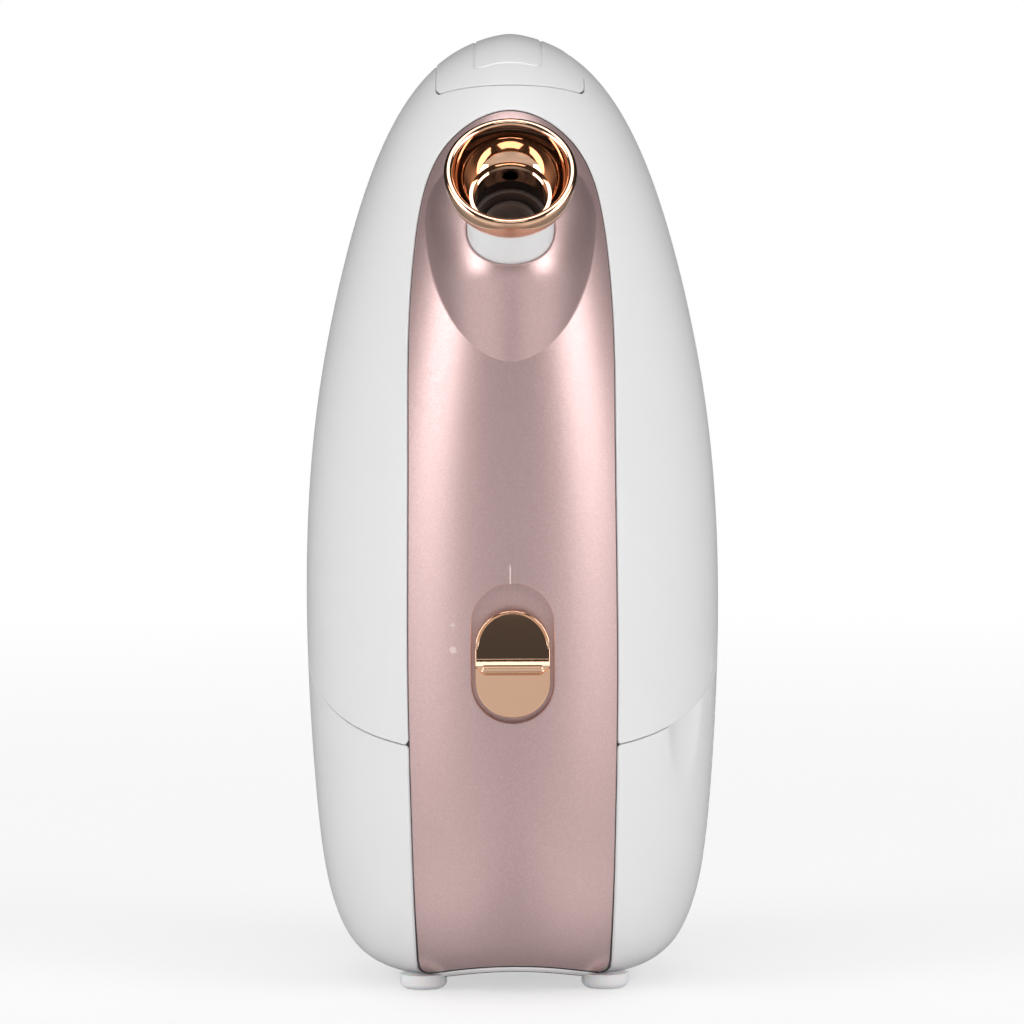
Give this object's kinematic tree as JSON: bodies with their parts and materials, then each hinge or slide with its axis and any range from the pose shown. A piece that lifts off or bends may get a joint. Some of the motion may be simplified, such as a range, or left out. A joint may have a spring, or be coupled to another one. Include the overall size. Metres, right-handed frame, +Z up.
{
  "type": "facial steamer",
  "caption": "Tall egg-shaped white facial steamer with a rose-gold front panel, trumpet steam nozzle, slide switch and lift-out rear water tank.",
  "frame": {"origin": "on the ground under the centre of the overall bounding box, seen from above", "axes": "+Z up, the nozzle and front panel face -Y, +X to the right seen from the front"},
  "size_m": [0.1234, 0.1927, 0.2825],
  "materials": {
    "white_shell": "glossy white moulded plastic",
    "rose_panel": "satin rose-gold metallic paint",
    "rose_chrome": "mirror rose-gold plating",
    "clear_tank": "clear smoked plastic",
    "inner_plastic": "matt moulded",
    "dark_plastic": "matt moulded",
    "silicone": "matt translucent",
    "foot_silicone": "soft matt white",
    "cast_alu": "as cast",
    "steel": "plain",
    "board_green": "solder-masked board"
  },
  "bodies": {
    "housing": {"base_shell": "white_shell", "board_capacitor": "dark_plastic", "board_transformer": "dark_plastic", "boiler_body": "cast_alu", "boiler_cover": "cast_alu", "boiler_gasket": "silicone", "boiler_screw_1": "steel", "boiler_screw_2": "steel", "boiler_screw_3": "steel", "boiler_screw_4": "steel", "bottom_cover": "inner_plastic", "bottom_screw_1": "steel", "bottom_screw_2": "steel", "bottom_screw_3": "steel", "bottom_screw_4": "steel", "control_board": "board_green", "detent_strip": "steel", "front_panel": "rose_panel", "heat_shield": "steel", "heater_ring": "steel", "inlet_pin_1": "steel", "inlet_pin_2": "steel", "ion_emitter": "steel", "ion_module": "dark_plastic", "nozzle_socket": "dark_plastic", "power_board": "board_green", "power_inlet": "dark_plastic", "rubber_foot_1": "foot_silicone", "rubber_foot_2": "foot_silicone", "rubber_foot_3": "foot_silicone", "rubber_foot_4": "foot_silicone", "seat_pin": "inner_plastic", "seat_seal": "silicone", "slide_switch": "dark_plastic", "steam_duct": "silicone", "switch_bracket": "inner_plastic", "tank_seat": "inner_plastic", "tank_well": "inner_plastic", "thermal_fuse": "steel", "thermostat": "steel", "upper_shell": "white_shell", "water_tube": "silicone"},
    "slider": {"slide_knob": "rose_chrome", "knob_carrier": "dark_plastic", "switch_lever": "dark_plastic"},
    "neck": {"nozzle_neck": "white_shell", "neck_seal_ring": "silicone", "steam_outlet": "dark_plastic"},
    "horn": {"nozzle_horn": "rose_chrome"},
    "tank": {"water_tank": "clear_tank", "tank_handle_cap": "white_shell"},
    "fill_cap_body": {"fill_cap": "white_shell", "fill_cap_seal": "silicone", "valve_guide": "inner_plastic", "valve_spring": "steel"},
    "poppet": {"valve_poppet": "dark_plastic"}
  },
  "joints": [
    {"name": "power_slide", "type": "slide", "parent": "housing", "child": "slider", "axis": [0, -0.0645, 0.9979], "range_m": [0, 0.0066]},
    {"name": "neck_turn", "type": "hinge", "parent": "housing", "child": "neck", "pos_m": [0, -0.06472, 0.229], "axis": [0, -0.788, 0.6157], "continuous": true},
    {"name": "horn_pull", "type": "slide", "parent": "neck", "child": "horn", "axis": [0, -0.788, 0.6157], "range_m": [0, 0.02]},
    {"name": "tank_lift", "type": "slide", "parent": "housing", "child": "tank", "axis": [0, 0, 1], "range_m": [0, 0.2]},
    {"name": "fill_cap_turn", "type": "hinge", "parent": "tank", "child": "fill_cap_body", "pos_m": [0, 0.05528, 0.086], "axis": [0, 0, 1], "range_deg": [0, 90]},
    {"name": "valve_stroke", "type": "slide", "parent": "fill_cap_body", "child": "poppet", "axis": [0, 0, 1], "range_m": [-0.0016, 0], "deforming": ["valve_spring"]}
  ],
  "couplings": [
    {"joint": "valve_stroke", "follows": "tank_lift", "ratio": -0.008}
  ]
}
